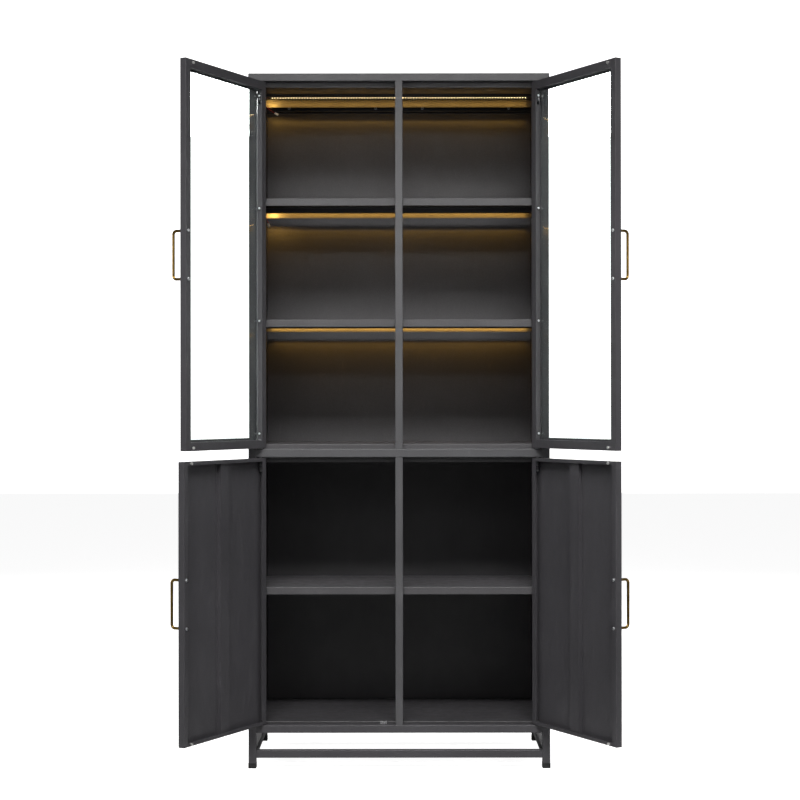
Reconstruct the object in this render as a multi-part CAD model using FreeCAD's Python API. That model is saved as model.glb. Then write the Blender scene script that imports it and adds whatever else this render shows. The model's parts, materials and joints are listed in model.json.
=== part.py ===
import FreeCAD, Part
import math
import os

# Free-standing steel display cabinet, 800 x 390 x 1845 mm: two glazed doors over two sheet
# doors, on four tube legs. Millimetres. The origin is on the floor at the centre of the
# footprint, +Z is up, the doors face -Y. The doors stand open, as the cabinet is shown.

# Overall size
CABINET_WIDTH = 800.0
CABINET_DEPTH = 390.0
CABINET_HEIGHT = 1845.0

# Tube frame
TUBE = 20.0
TUBE_WALL = 1.2
TUBE_CORNER = 1.6
UNDERSIDE_HEIGHT = 94.0
LOWER_OPENING = 711.0
MIDDLE_RAIL_HEIGHT = 22.0
TOP_CAP_HEIGHT = 20.0
STRETCHER_HEIGHT = 28.0

# Feet
FOOT_HEIGHT = 14.0
FOOT_OVERSIZE = 0.5
FOOT_PLUG_LENGTH = 12.0
FOOT_PLUG_CLEARANCE = 0.1
FOOT_CHAMFER = 1.2

# Sheet parts
SHEET = 0.8
BEND_RADIUS = 1.5
SIDE_FLANGE = 12.0
BACK_FLANGE = 7.0
STOP_TUBE_GAP = 2.5
STOP_DOOR_GAP = 4.5
STOP_FLANGE = 20.0
STOP_PAN_GAP = 0.5
PAN_SIDE_GAP = 1.5
PAN_FLANGE = 19.0
SHELF_REAR_GAP = 56.4
MIDDLE_FLOOR_RISE = 12.5
MIDDLE_FLOOR_DROP = 13.5
BOTTOM_FLOOR_RISE = 6.5
BOTTOM_FLOOR_FLANGE = 20.0
CEILING_RISE = 5.0
BAY_STEP = 8.5
LOWER_SHELF_LIFT = 2.5
RIB_WIDTH = 20.0
RIB_REAR_INSET = 76.0
SHELF_RIB_HEIGHT = 12.0
CEILING_RIB_HEIGHT = 6.5
CEILING_RIB_REAR_INSET = 96.0

# Light strips and their leads
STRIP_WIDTH = 8.0
STRIP_THICKNESS = 1.5
STRIP_END_INSET = 16.5
SHELF_STRIP_REAR_INSET = 33.0
LEAD_DIAMETER = 1.8
LEAD_STRIP_GAP = 0.2
LEAD_ARC_SHARE = 0.45
CONNECTOR_LENGTH = 11.0
CONNECTOR_WIDTH = 5.0
CONNECTOR_HEIGHT = 4.0

# Doors
DOOR_THICKNESS = 18.0
DOOR_GAP = 2.0
PIVOT_INSET = 12.0
PIVOT_SETBACK = 6.5
UPPER_LEFT_ANGLE = 118.0
UPPER_RIGHT_ANGLE = 120.0
LOWER_LEFT_ANGLE = 119.0
LOWER_RIGHT_ANGLE = 120.0
DOOR_CORNER = 1.0

# Glazed doors
STILE = 20.0
RAIL = 22.0
FRAME_WALL = 1.2
GLASS_LIP = 6.0
LIP_THICKNESS = 1.5
GLASS_THICKNESS = 4.0
GLASS_CLEARANCE = 1.0
CLIP_COUNT = 4
CLIP_END_INSET = 39.0
CLIP_LENGTH = 12.0
CLIP_TOE = 5.0
CLIP_TOE_THICKNESS = 1.5
CLIP_DEPTH = 8.5
CLIP_WALL = 1.5
CLIP_SCREW_RADIUS = 1.5
CLIP_SCREW_HEAD_RADIUS = 3.0
CLIP_SCREW_HEAD_HEIGHT = 1.9
CLIP_SCREW_LENGTH = 5.0
CLIP_SCREW_TOE_GAP = 0.6

# Sheet doors
EDGE_LIP = 9.0
FREE_LIP = 16.0
HINGE_LIP = 19.0
STIFFENER_WIDTH = 38.0
STIFFENER_HEIGHT = 12.0
STIFFENER_FOOT = 7.0
STIFFENER_END_GAP = 2.0

# Handles
HANDLE_CENTRES = 120.0
HANDLE_ROD = 7.0
HANDLE_REACH = 27.0
HANDLE_BEND = 9.0
HANDLE_INSET = 10.0
HANDLE_THREAD_DEPTH = 8.0
HANDLE_THREAD_GAP = 1.0

# Screws and magnets
SCREW_RADIUS = 2.0
SCREW_CLEARANCE = 0.05
SCREW_HEAD_RADIUS = 4.0
SCREW_HEAD_HEIGHT = 2.2
SCREW_DOME_SHARE = 0.6
SIDE_SCREW_LENGTH = 7.0
SIDE_SCREW_FRONT_INSET = 36.0
SIDE_SCREW_REAR_INSET = 62.0
SIDE_SCREW_DROP = 13.0
REAR_SCREW_LENGTH = 2.0
REAR_SCREW_END_INSET = 65.0
REAR_SCREW_MIDDLE_OFFSET = 67.0
MAGNET_RADIUS = 3.5
MAGNET_PROUD = 3.4
MAGNET_END_INSET = 30.0
UPPER_MAGNET_INSET = 8.0
LOWER_MAGNET_INSET = 5.0
KEEPER_WIDTH = 17.0
KEEPER_HEIGHT = 7.5
KEEPER_MAGNET_GAP = 0.2

# Pivots
PIN_RADIUS = 3.0
PIN_CLEARANCE = 0.06
LOWER_PIN_LENGTH = 46.0
GRIP_CLIP_GAP = 3.0
PIN_ENGAGEMENT = 8.0
PIN_TRAVEL = 10.0
PIN_GRIP_RADIUS = 2.0
PIN_FOOT = 1.0
UPPER_GRIP_REACH = 17.0
UPPER_GRIP_RISE = 7.0
LOWER_GRIP_END_GAP = 1.5
GRIP_SLOT_CLEARANCE = 1.0
GUIDE_DROP = 22.0
GUIDE_THICKNESS = 2.0
GUIDE_HALF_WIDTH = 7.0
STUD_COLLAR_RADIUS = 6.0
STUD_COLLAR_GAP = 0.3

# How far a cutter runs past the face it opens
OVERCUT = 1.0

# Derived levels
FRONT = -CABINET_DEPTH / 2
REAR = CABINET_DEPTH / 2
HALF_WIDTH = CABINET_WIDTH / 2
INNER_HALF = HALF_WIDTH - TUBE
OPENING_BOTTOM = UNDERSIDE_HEIGHT + TUBE
MIDDLE_RAIL_BOTTOM = OPENING_BOTTOM + LOWER_OPENING
MIDDLE_RAIL_TOP = MIDDLE_RAIL_BOTTOM + MIDDLE_RAIL_HEIGHT
OPENING_TOP = CABINET_HEIGHT - TOP_CAP_HEIGHT
PAN_HALF = INNER_HALF - PAN_SIDE_GAP
STOP_SETBACK = max(TUBE + STOP_TUBE_GAP, DOOR_THICKNESS + STOP_DOOR_GAP)
PAN_FRONT = FRONT + STOP_SETBACK + SHEET + STOP_PAN_GAP
BACK_FACE = REAR - BACK_FLANGE - SHEET
FLOOR_DEPTH = BACK_FACE - PAN_FRONT
SHELF_DEPTH = FLOOR_DEPTH - SHELF_REAR_GAP
RIB_SETBACK = SHELF_DEPTH - RIB_REAR_INSET
CEILING_RIB_SETBACK = SHELF_DEPTH - CEILING_RIB_REAR_INSET
SHELF_STRIP_SETBACK = SHELF_DEPTH - SHELF_STRIP_REAR_INSET
SIDE_SCREW_SETBACKS = (SIDE_SCREW_FRONT_INSET, SHELF_DEPTH - SIDE_SCREW_REAR_INSET)
REAR_SCREW_END = INNER_HALF - REAR_SCREW_END_INSET
REAR_SCREW_OFFSETS = (-REAR_SCREW_END, -REAR_SCREW_MIDDLE_OFFSET, REAR_SCREW_MIDDLE_OFFSET, REAR_SCREW_END)
CEILING_TOP = OPENING_TOP + CEILING_RISE
CEILING_UNDERSIDE = CEILING_TOP - PAN_FLANGE
MIDDLE_FLOOR_TOP = MIDDLE_RAIL_TOP + MIDDLE_FLOOR_RISE
MIDDLE_FLOOR_UNDERSIDE = MIDDLE_RAIL_BOTTOM - MIDDLE_FLOOR_DROP
BOTTOM_FLOOR_TOP = OPENING_BOTTOM + BOTTOM_FLOOR_RISE
MEAN_BAY = (CEILING_UNDERSIDE - MIDDLE_FLOOR_TOP - 2 * PAN_FLANGE) / 3
UPPER_SHELF_1_TOP = CEILING_UNDERSIDE - MEAN_BAY + BAY_STEP
UPPER_SHELF_2_TOP = MIDDLE_FLOOR_TOP + MEAN_BAY + BAY_STEP + PAN_FLANGE
LOWER_BAY = (MIDDLE_FLOOR_UNDERSIDE - BOTTOM_FLOOR_TOP - PAN_FLANGE) / 2
LOWER_SHELF_TOP = BOTTOM_FLOOR_TOP + LOWER_BAY + PAN_FLANGE + LOWER_SHELF_LIFT
DOOR_WIDTH = INNER_HALF - TUBE / 2 - 2 * DOOR_GAP
HINGE_EDGE = PIVOT_INSET - DOOR_GAP
PIVOT_X = INNER_HALF - PIVOT_INSET
PIVOT_Y = FRONT + PIVOT_SETBACK
STRIP_HALF = PAN_HALF - STRIP_END_INSET
CLIP_SCREW_DEPTH = (LIP_THICKNESS + GLASS_THICKNESS + CLIP_TOE_THICKNESS + CLIP_SCREW_HEAD_RADIUS
                    + CLIP_SCREW_TOE_GAP)

UP = FreeCAD.Vector(0, 0, 1)


def block(x0, x1, y0, y1, z0, z1):
    """A box given by its two limits along each axis, in either order."""
    low = FreeCAD.Vector(min(x0, x1), min(y0, y1), min(z0, z1))
    return Part.makeBox(abs(x1 - x0), abs(y1 - y0), abs(z1 - z0), low)


def rod(radius, start, end):
    """A round bar from one point to another."""
    start = FreeCAD.Vector(*start)
    run = FreeCAD.Vector(*end) - start
    return Part.makeCylinder(radius, run.Length, start, run)


def long_edges(shape, axis):
    """The straight edges of a shape that run along one axis."""
    found = []
    for edge in shape.Edges:
        run = edge.Vertexes[-1].Point - edge.Vertexes[0].Point
        if run.Length > 0 and abs(run.normalize().dot(axis)) > 0.999:
            found.append(edge)
    return found


def folded(shape, direction, radius):
    """Round the edges of the face on the side that a direction points to, as a fold does."""
    far = max(vertex.Point.dot(direction) for vertex in shape.Vertexes)
    rim = [edge for edge in shape.Edges if min(v.Point.dot(direction) for v in edge.Vertexes) > far - 0.001]
    return shape.makeFillet(radius, rim)


def square_tube(x0, x1, y0, y1, z0, z1, axis):
    """A hollow tube with rounded outer corners, open at both ends along its axis."""
    outer = block(x0, x1, y0, y1, z0, z1)
    outer = outer.makeFillet(TUBE_CORNER, long_edges(outer, axis))
    inset = FreeCAD.Vector(TUBE_WALL, TUBE_WALL, TUBE_WALL) - axis * TUBE_WALL
    bore = block(x0 + inset.x, x1 - inset.x, y0 + inset.y, y1 - inset.y, z0 + inset.z, z1 - inset.z)
    return outer.cut(bore)


def save(name, solids):
    """Write one node: a single solid, or a group of separate ones."""
    shape = solids[0] if len(solids) == 1 else Part.makeCompound(solids)
    shape.exportStep("parts/" + name + ".step")


def pan_screw_points(top):
    """Where the side screws cross the end flanges of one pan: (y, z) pairs."""
    return [(PAN_FRONT + setback, top - SIDE_SCREW_DROP) for setback in SIDE_SCREW_SETBACKS]


def side_screw_points():
    """The (y, z) places of every screw through a side panel."""
    points = []
    for top in (CEILING_TOP, UPPER_SHELF_1_TOP, UPPER_SHELF_2_TOP, MIDDLE_FLOOR_TOP,
                LOWER_SHELF_TOP, BOTTOM_FLOOR_TOP):
        points += pan_screw_points(top)
    return points


# ---- Frame -------------------------------------------------------------------------------


def make_posts():
    """Four corner tubes, which run down to the floor as legs."""
    for depth_name, y in (("front", FRONT), ("rear", REAR - TUBE)):
        for side_name, x in (("left", -HALF_WIDTH), ("right", INNER_HALF)):
            post = square_tube(x, x + TUBE, y, y + TUBE, FOOT_HEIGHT, OPENING_TOP, UP)
            save(depth_name + "_post_" + side_name, [post])


def make_centre_post():
    """The tube between the doors, in two lengths above and below the middle rail."""
    half = TUBE / 2
    lower = square_tube(-half, half, FRONT, FRONT + TUBE, OPENING_BOTTOM, MIDDLE_RAIL_BOTTOM, UP)
    upper = square_tube(-half, half, FRONT, FRONT + TUBE, MIDDLE_RAIL_TOP, OPENING_TOP, UP)
    save("centre_post", [lower, upper])


def cross_rail(y, z0, z1):
    """A tube from one side of the cabinet to the other, between the posts."""
    along = FreeCAD.Vector(1, 0, 0)
    return square_tube(-INNER_HALF, INNER_HALF, y, y + TUBE, z0, z1, along)


def pivot_hole(side, z0, z1):
    """The cutter for a door's pivot hole on one side of the cabinet."""
    radius = PIN_RADIUS + PIN_CLEARANCE
    return rod(radius, (side * PIVOT_X, PIVOT_Y, z0), (side * PIVOT_X, PIVOT_Y, z1))


def make_front_rails():
    """The middle and bottom rails, bored for the door pivots."""
    middle = cross_rail(FRONT, MIDDLE_RAIL_BOTTOM, MIDDLE_RAIL_TOP)
    bottom = cross_rail(FRONT, UNDERSIDE_HEIGHT, OPENING_BOTTOM)
    for side in (-1, 1):
        middle = middle.cut(pivot_hole(side, MIDDLE_RAIL_BOTTOM - OVERCUT, MIDDLE_RAIL_TOP + OVERCUT))
        bottom = bottom.cut(pivot_hole(side, OPENING_BOTTOM - 2 * TUBE_WALL, OPENING_BOTTOM + OVERCUT))
    save("front_middle_rail", [middle])
    save("front_bottom_rail", [bottom])


def make_rear_rail():
    """The rail inside the top of the back panel, with its four screw holes."""
    rail = cross_rail(BACK_FACE - TUBE, OPENING_TOP - TUBE, OPENING_TOP)
    for x in REAR_SCREW_OFFSETS:
        rail = rail.cut(rear_screw(x, SCREW_RADIUS + SCREW_CLEARANCE, 0))
    save("rear_top_rail", [rail])


def make_stretchers():
    """The four low tubes that tie the legs together."""
    z0 = STRETCHER_HEIGHT
    z1 = STRETCHER_HEIGHT + TUBE
    save("base_stretcher_front", [cross_rail(FRONT, z0, z1)])
    save("base_stretcher_rear", [cross_rail(REAR - TUBE, z0, z1)])
    along = FreeCAD.Vector(0, 1, 0)
    for side_name, x in (("left", -HALF_WIDTH), ("right", INNER_HALF)):
        tube = square_tube(x, x + TUBE, FRONT + TUBE, REAR - TUBE, z0, z1, along)
        save("base_stretcher_" + side_name, [tube])


def make_foot_caps():
    """Moulded feet, each a pad under its leg with a plug up inside the tube."""
    feet = []
    pad_half = TUBE / 2 + FOOT_OVERSIZE
    plug_half = TUBE / 2 - TUBE_WALL - FOOT_PLUG_CLEARANCE
    for x in (-HALF_WIDTH + TUBE / 2, HALF_WIDTH - TUBE / 2):
        for y in (FRONT + TUBE / 2, REAR - TUBE / 2):
            pad = block(x - pad_half, x + pad_half, y - pad_half, y + pad_half, 0, FOOT_HEIGHT)
            bottom = [edge for edge in pad.Edges if edge.BoundBox.ZMax < 0.001]
            pad = pad.makeChamfer(FOOT_CHAMFER, bottom)
            top = FOOT_HEIGHT + FOOT_PLUG_LENGTH
            plug = block(x - plug_half, x + plug_half, y - plug_half, y + plug_half, FOOT_HEIGHT, top)
            feet.append(pad.fuse(plug))
    save("foot_caps", feet)


# ---- Sheet parts -------------------------------------------------------------------------


def make_top_cap():
    """The folded top: a tray upside down, with a return all round that sits on the posts."""
    cap = block(-HALF_WIDTH, HALF_WIDTH, FRONT, REAR, OPENING_TOP, CABINET_HEIGHT)
    top_edges = [edge for edge in cap.Edges if edge.BoundBox.ZMin > CABINET_HEIGHT - 0.001]
    cap = cap.makeFillet(TUBE_CORNER, long_edges(cap, UP) + top_edges)
    half = HALF_WIDTH - SHEET
    hollow = block(-half, half, FRONT + SHEET, REAR - SHEET, OPENING_TOP + SHEET, CABINET_HEIGHT - SHEET)
    mouth = block(-INNER_HALF, INNER_HALF, FRONT + TUBE, REAR - TUBE, OPENING_TOP - OVERCUT,
                  OPENING_TOP + SHEET + OVERCUT)
    cap = cap.cut(hollow).cut(mouth)
    for side in (-1, 1):
        cap = cap.cut(pivot_hole(side, OPENING_TOP - OVERCUT, OPENING_TOP + 2 * SHEET))
    save("top_cap", [cap])


def make_side_panels():
    """Side sheets flush with the posts' inner faces, flanges folded out against the tubes."""
    y0 = FRONT + TUBE
    y1 = REAR - TUBE
    radius = SCREW_RADIUS + SCREW_CLEARANCE
    for side, side_name in ((-1, "left"), (1, "right")):
        x0 = side * INNER_HALF
        x1 = side * (INNER_HALF + SIDE_FLANGE)
        inward = FreeCAD.Vector(-side, 0, 0)
        panel = folded(block(x0, x1, y0, y1, UNDERSIDE_HEIGHT, OPENING_TOP), inward, BEND_RADIUS)
        inside_x = side * (INNER_HALF + SHEET)
        z0 = UNDERSIDE_HEIGHT + SHEET
        z1 = OPENING_TOP - SHEET
        hollow = block(inside_x, x1 + side * OVERCUT, y0 + SHEET, y1 - SHEET, z0, z1)
        panel = panel.cut(folded(hollow, inward, BEND_RADIUS - SHEET))
        for y, z in side_screw_points():
            panel = panel.cut(rod(radius, (x0 - side * OVERCUT, y, z), (inside_x + side * OVERCUT, y, z)))
        save("side_panel_" + side_name, [panel])


def back_panel(z0, z1):
    """A back sheet between the rear posts, with flanges folded to the rear."""
    forward = FreeCAD.Vector(0, -1, 0)
    panel = folded(block(-INNER_HALF, INNER_HALF, BACK_FACE, REAR, z0, z1), forward, BEND_RADIUS)
    half = INNER_HALF - SHEET
    hollow = block(-half, half, BACK_FACE + SHEET, REAR + OVERCUT, z0 + SHEET, z1 - SHEET)
    return panel.cut(folded(hollow, forward, BEND_RADIUS - SHEET))


def make_back_panels():
    """Two back sheets, which meet behind the middle floor."""
    upper = back_panel(MIDDLE_RAIL_TOP, OPENING_TOP)
    for x in REAR_SCREW_OFFSETS:
        upper = upper.cut(rear_screw(x, SCREW_RADIUS + SCREW_CLEARANCE, 0))
    save("back_panel_upper", [upper])
    save("back_panel_lower", [back_panel(UNDERSIDE_HEIGHT, MIDDLE_RAIL_TOP)])


def make_door_stops():
    """A vertical angle on each side panel, which the closed doors come up against."""
    stops = []
    front = FRONT + STOP_SETBACK
    for side in (-1, 1):
        outer = side * INNER_HALF
        inner = side * (INNER_HALF - STOP_FLANGE)
        face = block(outer, inner, front, front + SHEET, OPENING_BOTTOM, OPENING_TOP)
        leg_inner = side * (INNER_HALF - SHEET)
        leg = block(outer, leg_inner, front, front + STOP_FLANGE, OPENING_BOTTOM, OPENING_TOP)
        stops.append(face.fuse(leg).removeSplitter())
    save("door_stops", stops)


def folded_pan(top, depth, front_drop, other_drop):
    """A floor or shelf: a sheet with flanges folded down at the front, ends and rear."""
    rear = PAN_FRONT + depth
    skirt = folded(block(-PAN_HALF, PAN_HALF, PAN_FRONT, rear, top - other_drop, top), UP, BEND_RADIUS)
    half = PAN_HALF - SHEET
    foot = top - other_drop - OVERCUT
    hollow = block(-half, half, PAN_FRONT + SHEET, rear - SHEET, foot, top - SHEET)
    pan = skirt.cut(folded(hollow, UP, BEND_RADIUS - SHEET))
    if front_drop > other_drop:
        apron = block(-PAN_HALF, PAN_HALF, PAN_FRONT, PAN_FRONT + SHEET, top - front_drop, top - other_drop)
        pan = pan.fuse(apron).removeSplitter()
    reach = PAN_HALF + OVERCUT
    for y, z in pan_screw_points(top):
        pan = pan.cut(rod(SCREW_RADIUS + SCREW_CLEARANCE, (-reach, y, z), (reach, y, z)))
    return pan


def rib(top, setback, height):
    """A folded channel under a pan, from one end flange to the other, open at its top."""
    half = PAN_HALF - SHEET
    middle = PAN_FRONT + setback
    y0 = middle - RIB_WIDTH / 2
    y1 = middle + RIB_WIDTH / 2
    z1 = top - SHEET
    z0 = z1 - height
    channel = block(-half, half, y0, y1, z0, z1)
    return channel.cut(block(-half, half, y0 + SHEET, y1 - SHEET, z0 + SHEET, z1))


def make_shelves():
    """The three shelves; the two upper ones carry a rib that hides their light strip."""
    for name, top in (("upper_shelf_1", UPPER_SHELF_1_TOP), ("upper_shelf_2", UPPER_SHELF_2_TOP),
                      ("lower_shelf", LOWER_SHELF_TOP)):
        shelf = folded_pan(top, SHELF_DEPTH, PAN_FLANGE, PAN_FLANGE)
        shelf = shelf.fuse(rib(top, RIB_SETBACK, SHELF_RIB_HEIGHT))
        save(name, [shelf.removeSplitter()])


def make_floors():
    """The ceiling pan, the middle floor with its deep apron, and the bottom floor."""
    ceiling = folded_pan(CEILING_TOP, SHELF_DEPTH, PAN_FLANGE, PAN_FLANGE)
    ceiling = ceiling.fuse(rib(CEILING_TOP, CEILING_RIB_SETBACK, CEILING_RIB_HEIGHT))
    save("ceiling_panel", [ceiling.removeSplitter()])
    apron = MIDDLE_FLOOR_TOP - MIDDLE_FLOOR_UNDERSIDE
    save("middle_floor", [folded_pan(MIDDLE_FLOOR_TOP, FLOOR_DEPTH, apron, PAN_FLANGE)])
    flange = BOTTOM_FLOOR_FLANGE
    save("bottom_floor", [folded_pan(BOTTOM_FLOOR_TOP, FLOOR_DEPTH, flange, flange)])


# ---- Fasteners ---------------------------------------------------------------------------


def screw(point, direction, radius, length, head_radius, head_height):
    """A domed-head screw: the point is under its head and the shank runs along direction."""
    point = FreeCAD.Vector(*point)
    direction = FreeCAD.Vector(*direction)
    shank = Part.makeCylinder(radius, length, point, direction)
    head = Part.makeCylinder(head_radius, head_height, point, direction * -1)
    crown = [edge for edge in head.Edges if edge.Closed]
    crown = [edge for edge in crown if (edge.CenterOfMass - point).Length > head_height / 2]
    head = head.makeFillet(head_height * SCREW_DOME_SHARE, crown)
    return head.fuse(shank)


def rear_screw(x, radius, head_height):
    """A screw through the rear rail and the back sheet; with no head, its plain bore."""
    z = OPENING_TOP - TUBE / 2
    start = (x, BACK_FACE - TUBE, z)
    length = TUBE + SHEET + REAR_SCREW_LENGTH
    if head_height == 0:
        return rod(radius, start, (x, BACK_FACE - TUBE + length, z))
    return screw(start, (0, 1, 0), radius, length, SCREW_HEAD_RADIUS, head_height)


def make_panel_screws():
    """Screws through the side panels into every pan, and through the rear rail."""
    screws = []
    for side in (-1, 1):
        for y, z in side_screw_points():
            start = (side * (INNER_HALF + SHEET), y, z)
            screws.append(screw(start, (-side, 0, 0), SCREW_RADIUS, SIDE_SCREW_LENGTH,
                                SCREW_HEAD_RADIUS, SCREW_HEAD_HEIGHT))
    for x in REAR_SCREW_OFFSETS:
        screws.append(rear_screw(x, SCREW_RADIUS, SCREW_HEAD_HEIGHT))
    save("panel_screws", screws)


def make_keeper():
    """The small steel plate on the bottom floor's flange that a lower door's magnet meets."""
    front = FRONT + DOOR_THICKNESS + MAGNET_PROUD + KEEPER_MAGNET_GAP
    centre = -(TUBE / 2 + DOOR_GAP + MAGNET_END_INSET)
    x0 = centre - KEEPER_WIDTH / 2
    x1 = centre + KEEPER_WIDTH / 2
    plate = block(x0, x1, front, PAN_FRONT, OPENING_BOTTOM, OPENING_BOTTOM + KEEPER_HEIGHT)
    save("door_keeper", [plate])


def make_pivot_studs():
    """The four fixed lower pivots, each a pin with a collar that the door sits on."""
    studs = []
    collar = DOOR_GAP - STUD_COLLAR_GAP
    for side in (-1, 1):
        for level in (OPENING_BOTTOM, MIDDLE_RAIL_TOP):
            x = side * PIVOT_X
            tip = level + DOOR_GAP + PIN_ENGAGEMENT
            pin = rod(PIN_RADIUS, (x, PIVOT_Y, level - TUBE_WALL), (x, PIVOT_Y, tip))
            ring = rod(STUD_COLLAR_RADIUS, (x, PIVOT_Y, level), (x, PIVOT_Y, level + collar))
            studs.append(pin.fuse(ring))
    save("pivot_studs", studs)


# ---- Lights ------------------------------------------------------------------------------


def light_strip(setback, top):
    """A light strip stuck to a flat underside at the given level."""
    y = PAN_FRONT + setback
    half = STRIP_WIDTH / 2
    return block(-STRIP_HALF, STRIP_HALF, y - half, y + half, top - STRIP_THICKNESS, top)


def lead_points(setback, strip_top, offsets):
    """A lead's route: from the strip's left end, then by the given steps from there."""
    x = -STRIP_HALF
    y = PAN_FRONT + setback
    z = strip_top - LEAD_DIAMETER / 2 - LEAD_STRIP_GAP
    return [FreeCAD.Vector(x + dx, y + dy, z + dz) for dx, dy, dz in offsets]


def lead_wire(points):
    """Straight runs joined by tangent arcs, each arc as large as its two runs allow."""
    edges = []
    start = points[0]
    for before, corner, after in zip(points, points[1:], points[2:]):
        into = corner - before
        out = after - corner
        reach = LEAD_ARC_SHARE * min(into.Length, out.Length)
        half_turn = into.getAngle(out) / 2
        a = corner - FreeCAD.Vector(into).normalize() * reach
        b = corner + FreeCAD.Vector(out).normalize() * reach
        towards = (a + b) * 0.5 - corner
        radius = reach / math.tan(half_turn)
        crest = radius / math.cos(half_turn) - radius
        middle = corner + towards.normalize() * crest
        edges.append(Part.LineSegment(start, a).toShape())
        edges.append(Part.Arc(a, middle, b).toShape())
        start = b
    edges.append(Part.LineSegment(start, points[-1]).toShape())
    return Part.Wire(edges)


def make_lead(name, points):
    """A thin two-core lead along its route, and the plug on its free end."""
    wire = lead_wire(points)
    run = points[1] - points[0]
    section = Part.Wire(Part.Circle(points[0], run, LEAD_DIAMETER / 2).toShape())
    tube = wire.makePipeShell([section], True, False)
    save("led_lead_" + name, [tube])
    end = points[-1]
    along = (end - points[-2]).normalize()
    plug = Part.makeBox(CONNECTOR_WIDTH, CONNECTOR_HEIGHT, CONNECTOR_LENGTH)
    plug.translate(FreeCAD.Vector(-CONNECTOR_WIDTH / 2, -CONNECTOR_HEIGHT / 2, 0))
    plug.Placement = FreeCAD.Placement(end, FreeCAD.Rotation(UP, along)).multiply(plug.Placement)
    save("led_connector_" + name, [plug])


def make_lights():
    """Three light strips, with the leads and plugs that hang at two of their left ends."""
    ceiling_strip_top = CEILING_TOP - SHEET - CEILING_RIB_HEIGHT
    shelf_strip_top = UPPER_SHELF_1_TOP - SHEET
    save("led_strip_top", [light_strip(CEILING_RIB_SETBACK, ceiling_strip_top)])
    lower_strip_top = UPPER_SHELF_2_TOP - SHEET
    save("led_strips_shelves", [light_strip(SHELF_STRIP_SETBACK, shelf_strip_top),
                                light_strip(SHELF_STRIP_SETBACK, lower_strip_top)])
    top_route = [(0, 0, 0), (-7, 0, 0), (-12, 0.5, -5.5), (-12.5, 2, -14), (-8, 4, -25),
                 (3, 6, -34), (15, 8, -41)]
    shelf_route = [(0, 0, 0), (-7, 0, 0), (-11.8, -0.5, -5.5), (-12.4, -1.5, -14),
                   (-10.5, -2.5, -25), (-7.5, -3, -35.5)]
    make_lead("top", lead_points(CEILING_RIB_SETBACK, ceiling_strip_top, top_route))
    make_lead("shelf", lead_points(SHELF_STRIP_SETBACK, shelf_strip_top, shelf_route))


# ---- Doors -------------------------------------------------------------------------------
# A door is drawn closed, in its own directions: u runs from the pivot towards the free edge,
# d is the depth behind the outer face and z is up. side is -1 for a left door, 1 for a right.


def door_block(side, u0, u1, d0, d1, z0, z1):
    """A box in a door's own directions."""
    return block(side * (PIVOT_X - u0), side * (PIVOT_X - u1), FRONT + d0, FRONT + d1, z0, z1)


def door_point(side, u, d, z):
    """A point in a door's own directions."""
    return FreeCAD.Vector(side * (PIVOT_X - u), FRONT + d, z)


def swing(shape, side, angle):
    """Turn a closed door's piece about its pivot to the open pose."""
    turned = shape.copy()
    turned.rotate(FreeCAD.Vector(side * PIVOT_X, PIVOT_Y, 0), UP, side * angle)
    return turned


def save_door(name, solids, side, angle):
    """Write a door's node in the open pose."""
    save(name, [swing(solid, side, angle) for solid in solids])


def free_edge():
    """The free edge's distance from the pivot."""
    return DOOR_WIDTH - HINGE_EDGE


def door_slab(side, z0, z1):
    """The door's outer shape, the edges of its two faces eased."""
    slab = door_block(side, -HINGE_EDGE, free_edge(), 0, DOOR_THICKNESS, z0, z1)
    slab = folded(slab, FreeCAD.Vector(0, -1, 0), DOOR_CORNER)
    return folded(slab, FreeCAD.Vector(0, 1, 0), DOOR_CORNER)


def clip_heights(z0, z1):
    """The heights of the glass clips, evenly spaced between their end insets."""
    low = z0 + CLIP_END_INSET
    step = (z1 - z0 - 2 * CLIP_END_INSET) / (CLIP_COUNT - 1)
    return [low + index * step for index in range(CLIP_COUNT)]


def handle_heights(z0, z1):
    """The heights of a handle's two screws."""
    middle = (z0 + z1) / 2
    return [middle - HANDLE_CENTRES / 2, middle + HANDLE_CENTRES / 2]


def stile_faces():
    """The two stiles' window faces: (u of the face, direction of u towards the glass)."""
    return ((STILE - HINGE_EDGE, 1), (free_edge() - STILE, -1))


def cut_door_holes(shape, side, z0, z1):
    """The pivot bores at the hinge edge and the handle's screw holes."""
    bore = PIN_RADIUS + PIN_CLEARANCE
    reach = PIN_RADIUS * 2
    for level in (z0, z1):
        shape = shape.cut(rod(bore, door_point(side, 0, PIVOT_SETBACK, level - reach),
                              door_point(side, 0, PIVOT_SETBACK, level + reach)))
    u = free_edge() - HANDLE_INSET
    for z in handle_heights(z0, z1):
        shape = shape.cut(rod(SCREW_RADIUS + SCREW_CLEARANCE, door_point(side, u, -OVERCUT, z),
                              door_point(side, u, DOOR_THICKNESS + OVERCUT, z)))
    return shape


def upper_grip_level(z1):
    """The height of a glazed door's pin grip when home, just below the top glass clip."""
    return z1 - CLIP_END_INSET - CLIP_LENGTH / 2 - GRIP_CLIP_GAP - PIN_GRIP_RADIUS


def lower_grip_level(z1):
    """The height of a sheet door's pin grip when home, at the end of the pin."""
    return z1 + DOOR_GAP + PIN_ENGAGEMENT - LOWER_PIN_LENGTH + PIN_GRIP_RADIUS + PIN_FOOT


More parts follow.
